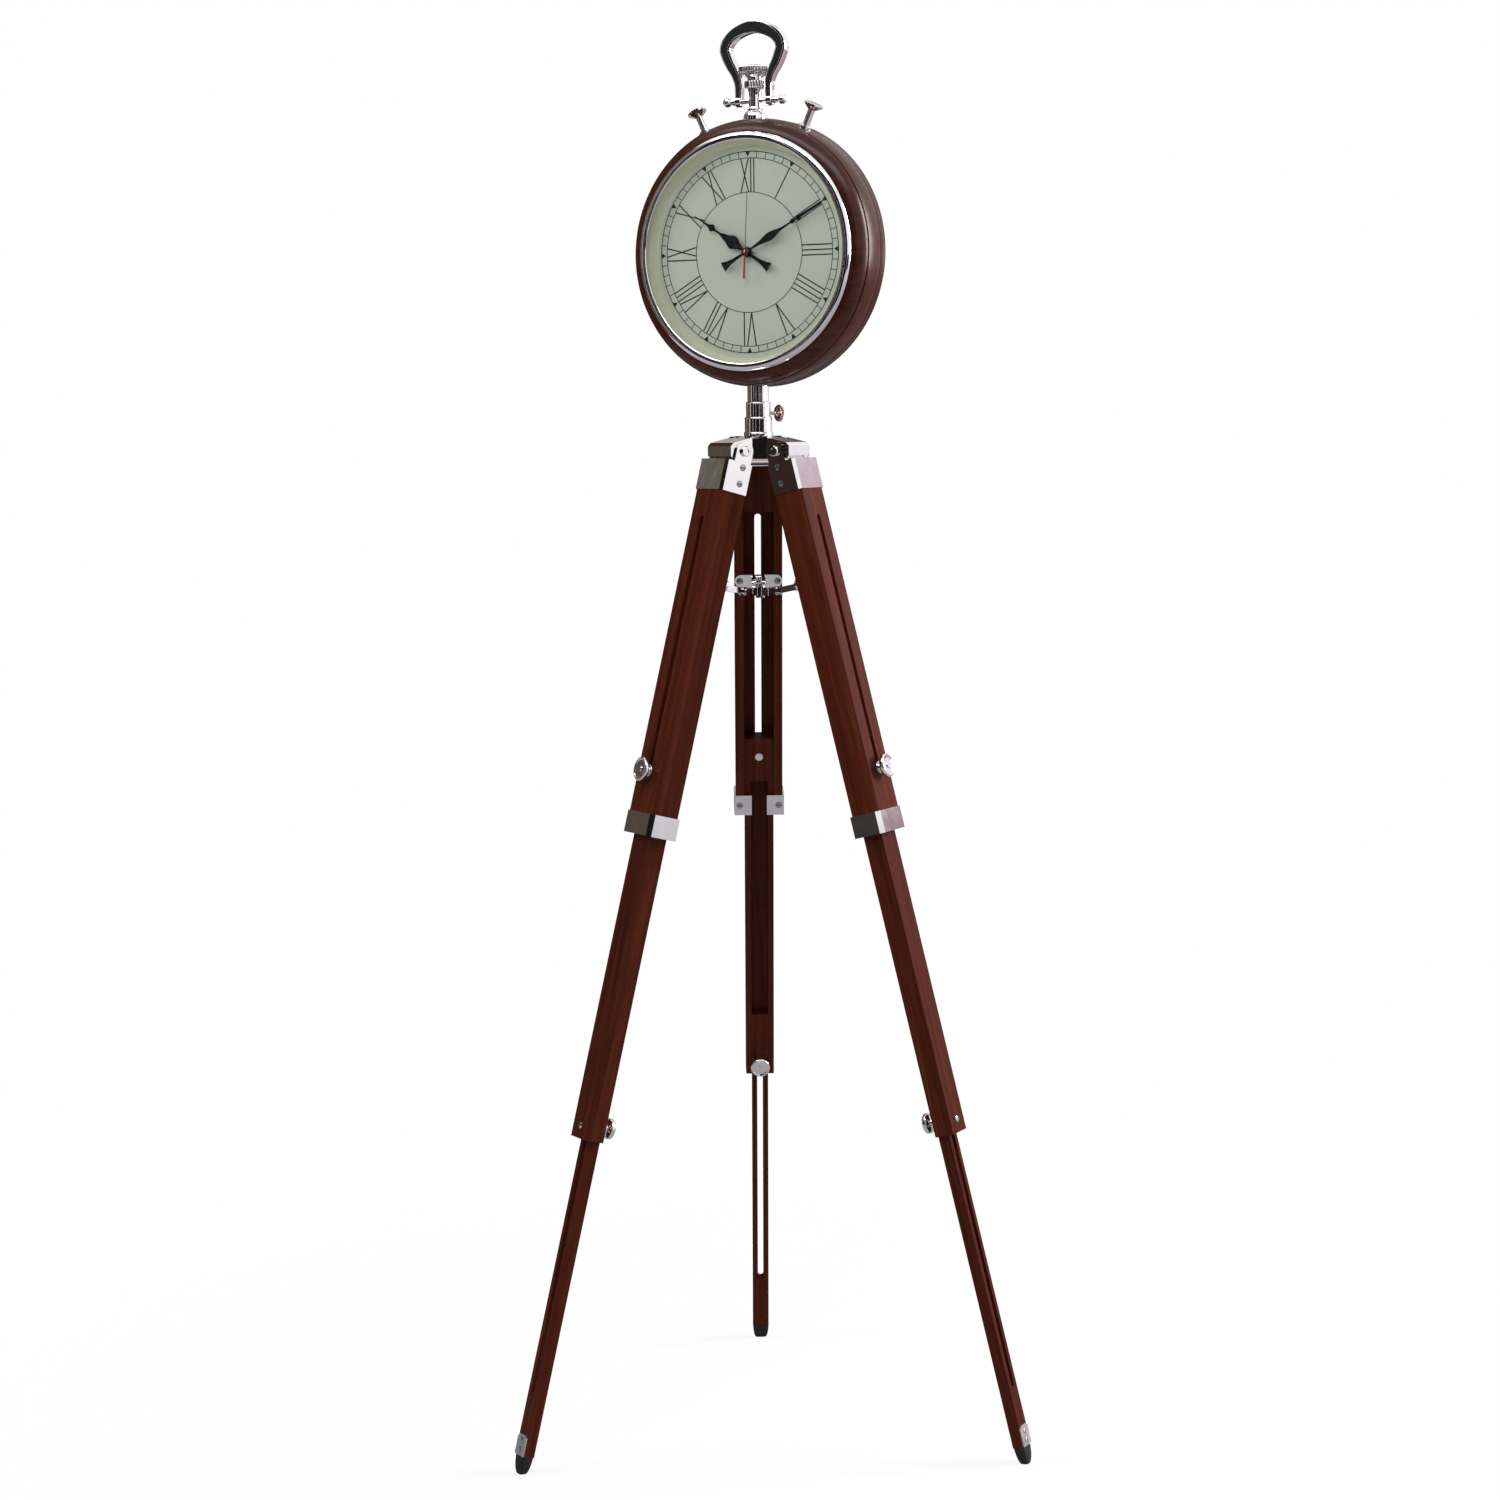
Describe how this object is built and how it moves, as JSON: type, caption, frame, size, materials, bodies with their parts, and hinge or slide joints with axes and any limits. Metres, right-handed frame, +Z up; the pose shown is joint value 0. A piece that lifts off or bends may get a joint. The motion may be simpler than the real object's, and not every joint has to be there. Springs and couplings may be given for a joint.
{
  "type": "tripod clock",
  "caption": "Round watch-shaped clock on a stem above a folding wooden tripod with telescopic legs, clamp knobs and a spreader.",
  "frame": {"origin": "middle of the bounding box's footprint, on the floor", "axes": "+Z up along the stem, -Y toward the viewer between the two front legs, +Y toward the rear leg"},
  "size_m": [0.5466, 0.4753, 1.5163],
  "materials": {
    "stained_wood": "dark red-brown stain, satin lacquer",
    "bright_plate": "bright nickel plate",
    "clear_glass": "clear",
    "dial_paint": "matt pale green-cream with black print",
    "black_enamel": "black enamel",
    "brown_lacquer": "red-brown lacquer",
    "black_plastic": "matt black moulding",
    "cell_jacket": "plain grey sleeve",
    "back_board": "dark stained fibre board",
    "zinc_plate": "zinc plate",
    "black_rubber": "matt"
  },
  "bodies": {
    "head": {"tripod_head": "bright_plate", "hinge_bolts": "bright_plate"},
    "socket_screw": {"socket_screw": "bright_plate"},
    "stem": {"stem_tube": "bright_plate"},
    "clock": {"clock_case": "stained_wood", "bezel": "bright_plate", "lens": "clear_glass", "dial_pan": "dial_paint", "movement_housing": "black_plastic", "battery": "cell_jacket", "back_cover": "back_board", "clock_fasteners": "zinc_plate", "pendant": "bright_plate", "bow_screws": "bright_plate", "pusher_bushes": "bright_plate"},
    "minute_hand": {"minute_hand": "black_enamel"},
    "hour_hand": {"hour_hand": "black_enamel"},
    "second_hand": {"second_hand": "brown_lacquer"},
    "setting_knob": {"setting_knob": "black_plastic"},
    "crown": {"crown": "bright_plate"},
    "bow": {"bow": "bright_plate"},
    "pusher_left": {"pusher_left": "bright_plate"},
    "pusher_right": {"pusher_right": "bright_plate"},
    "spreader_hub": {"spreader_hub": "bright_plate"},
    "leg_left": {"upper_leg_left": "stained_wood", "leg_ferrules_left": "bright_plate", "spreader_bracket_left": "bright_plate", "leg_screws_left": "bright_plate"},
    "mid_left": {"mid_leg_left": "stained_wood", "clamp_bolts_left": "bright_plate"},
    "low_left": {"lower_leg_left": "stained_wood", "foot_plate_left": "bright_plate", "foot_tip_left": "black_rubber"},
    "upper_knob_left": {"upper_knob_left": "bright_plate"},
    "lower_knob_left": {"lower_knob_left": "bright_plate"},
    "spreader_arm_left": {"spreader_arm_left": "bright_plate"},
    "leg_right": {"upper_leg_right": "stained_wood", "leg_ferrules_right": "bright_plate", "spreader_bracket_right": "bright_plate", "leg_screws_right": "bright_plate"},
    "mid_right": {"mid_leg_right": "stained_wood", "clamp_bolts_right": "bright_plate"},
    "low_right": {"lower_leg_right": "stained_wood", "foot_plate_right": "bright_plate", "foot_tip_right": "black_rubber"},
    "upper_knob_right": {"upper_knob_right": "bright_plate"},
    "lower_knob_right": {"lower_knob_right": "bright_plate"},
    "spreader_arm_right": {"spreader_arm_right": "bright_plate"},
    "leg_rear": {"upper_leg_rear": "stained_wood", "leg_ferrules_rear": "bright_plate", "spreader_bracket_rear": "bright_plate", "leg_screws_rear": "bright_plate"},
    "mid_rear": {"mid_leg_rear": "stained_wood", "clamp_bolts_rear": "bright_plate"},
    "low_rear": {"lower_leg_rear": "stained_wood", "foot_plate_rear": "bright_plate", "foot_tip_rear": "black_rubber"},
    "upper_knob_rear": {"upper_knob_rear": "bright_plate"},
    "lower_knob_rear": {"lower_knob_rear": "bright_plate"},
    "spreader_arm_rear": {"spreader_arm_rear": "bright_plate"}
  },
  "joints": [
    {"name": "stem_height", "type": "slide", "parent": "head", "child": "stem", "axis": [0, 0, 1], "range_m": [-0.009, 0.02]},
    {"name": "socket_screw_turn", "type": "hinge", "parent": "head", "child": "socket_screw", "pos_m": [0.01126, -0.07129, 1.10603], "axis": [0.866, 0.5, 0], "range_deg": [0, 360]},
    {"name": "clock_turn", "type": "hinge", "parent": "stem", "child": "clock", "pos_m": [0, -0.0778, 1.27473], "axis": [0, 0, 1], "continuous": true},
    {"name": "minute_turn", "type": "hinge", "parent": "clock", "child": "minute_hand", "pos_m": [0, -0.0778, 1.27473], "axis": [0.4818, 0.8763, 0], "continuous": true},
    {"name": "hour_turn", "type": "hinge", "parent": "clock", "child": "hour_hand", "pos_m": [0, -0.0778, 1.27473], "axis": [0.4818, 0.8763, 0], "continuous": true},
    {"name": "setting_knob_turn", "type": "hinge", "parent": "clock", "child": "setting_knob", "pos_m": [0, -0.0778, 1.27473], "axis": [0.4818, 0.8763, 0], "continuous": true},
    {"name": "second_turn", "type": "hinge", "parent": "clock", "child": "second_hand", "pos_m": [0, -0.0778, 1.27473], "axis": [0.4818, 0.8763, 0], "continuous": true},
    {"name": "crown_turn", "type": "hinge", "parent": "clock", "child": "crown", "pos_m": [0, -0.0778, 1.46973], "axis": [0, 0, 1], "continuous": true},
    {"name": "bow_swing", "type": "hinge", "parent": "clock", "child": "bow", "pos_m": [0, -0.0778, 1.43353], "axis": [0.8763, -0.4818, 0], "range_deg": [-90, 90]},
    {"name": "pusher_left_press", "type": "slide", "parent": "clock", "child": "pusher_left", "axis": [0.3648, -0.2005, -0.9092], "range_m": [0, 0.004], "stiffness_N_per_m": 500, "springref_m": -0.002},
    {"name": "pusher_right_press", "type": "slide", "parent": "clock", "child": "pusher_right", "axis": [-0.3648, 0.2005, -0.9092], "range_m": [0, 0.004], "stiffness_N_per_m": 500, "springref_m": -0.002},
    {"name": "leg_left_fold", "type": "hinge", "parent": "head", "child": "leg_left", "pos_m": [-0.02901, -0.09455, 1.06603], "axis": [0.5, -0.866, 0], "range_deg": [0, 10.5]},
    {"name": "mid_left_slide", "type": "slide", "parent": "leg_left", "child": "mid_left", "axis": [0.2183, 0.126, 0.9677], "range_m": [0, 0.26]},
    {"name": "low_left_slide", "type": "slide", "parent": "mid_left", "child": "low_left", "axis": [0.2183, 0.126, 0.9677], "range_m": [0, 0.284]},
    {"name": "upper_knob_left_turn", "type": "hinge", "parent": "mid_left", "child": "upper_knob_left", "pos_m": [-0.12134, -0.14785, 0.73212], "axis": [-0.8381, -0.4839, 0.2521], "range_deg": [0, 360]},
    {"name": "lower_knob_left_turn", "type": "hinge", "parent": "mid_left", "child": "lower_knob_left", "pos_m": [-0.18016, -0.18181, 0.35713], "axis": [0.8381, 0.4839, -0.2521], "range_deg": [0, 360]},
    {"name": "leg_right_fold", "type": "hinge", "parent": "head", "child": "leg_right", "pos_m": [0.02901, -0.09455, 1.06603], "axis": [0.5, 0.866, 0], "range_deg": [0, 10.5]},
    {"name": "mid_right_slide", "type": "slide", "parent": "leg_right", "child": "mid_right", "axis": [-0.2183, 0.126, 0.9677], "range_m": [0, 0.26]},
    {"name": "low_right_slide", "type": "slide", "parent": "mid_right", "child": "low_right", "axis": [-0.2183, 0.126, 0.9677], "range_m": [0, 0.284]},
    {"name": "upper_knob_right_turn", "type": "hinge", "parent": "mid_right", "child": "upper_knob_right", "pos_m": [0.12134, -0.14785, 0.73212], "axis": [0.8381, -0.4839, 0.2521], "range_deg": [0, 360]},
    {"name": "lower_knob_right_turn", "type": "hinge", "parent": "mid_right", "child": "lower_knob_right", "pos_m": [0.18016, -0.18181, 0.35713], "axis": [-0.8381, 0.4839, -0.2521], "range_deg": [0, 360]},
    {"name": "leg_rear_fold", "type": "hinge", "parent": "head", "child": "leg_rear", "pos_m": [0, -0.0443, 1.06603], "axis": [-1, 0, 0], "range_deg": [0, 10.5]},
    {"name": "mid_rear_slide", "type": "slide", "parent": "leg_rear", "child": "mid_rear", "axis": [0, -0.2521, 0.9677], "range_m": [0, 0.26]},
    {"name": "low_rear_slide", "type": "slide", "parent": "mid_rear", "child": "low_rear", "axis": [0, -0.2521, 0.9677], "range_m": [0, 0.284]},
    {"name": "upper_knob_rear_turn", "type": "hinge", "parent": "mid_rear", "child": "upper_knob_rear", "pos_m": [0, 0.06232, 0.73212], "axis": [0, 0.9677, 0.2521], "range_deg": [0, 360]},
    {"name": "lower_knob_rear_turn", "type": "hinge", "parent": "mid_rear", "child": "lower_knob_rear", "pos_m": [0, 0.13023, 0.35713], "axis": [0, -0.9677, -0.2521], "range_deg": [0, 360]},
    {"name": "spreader_hub_slide", "type": "slide", "parent": "head", "child": "spreader_hub", "axis": [0, 0, -1], "range_m": [0, 0.02239]},
    {"name": "spreader_arm_left_swing", "type": "hinge", "parent": "spreader_hub", "child": "spreader_arm_left", "pos_m": [-0.01732, -0.08779, 0.91683], "axis": [-0.5, 0.866, 0], "range_deg": [0, 77.11]},
    {"name": "spreader_arm_right_swing", "type": "hinge", "parent": "spreader_hub", "child": "spreader_arm_right", "pos_m": [0.01732, -0.08779, 0.91683], "axis": [-0.5, -0.866, 0], "range_deg": [0, 77.11]},
    {"name": "spreader_arm_rear_swing", "type": "hinge", "parent": "spreader_hub", "child": "spreader_arm_rear", "pos_m": [0, -0.05779, 0.91683], "axis": [1, 0, 0], "range_deg": [0, 77.11]}
  ],
  "couplings": [
    {"joint": "leg_right_fold", "follows": "leg_left_fold", "ratio": 1},
    {"joint": "leg_rear_fold", "follows": "leg_left_fold", "ratio": 1},
    {"joint": "spreader_hub_slide", "follows": "leg_left_fold", "m_per_rad": 0.12162},
    {"joint": "spreader_arm_left_swing", "follows": "leg_left_fold", "ratio": 7.3341},
    {"joint": "spreader_arm_right_swing", "follows": "leg_left_fold", "ratio": 7.3341},
    {"joint": "spreader_arm_rear_swing", "follows": "leg_left_fold", "ratio": 7.3341},
    {"joint": "hour_turn", "follows": "minute_turn", "ratio": 0.083333},
    {"joint": "setting_knob_turn", "follows": "minute_turn", "ratio": 1}
  ]
}
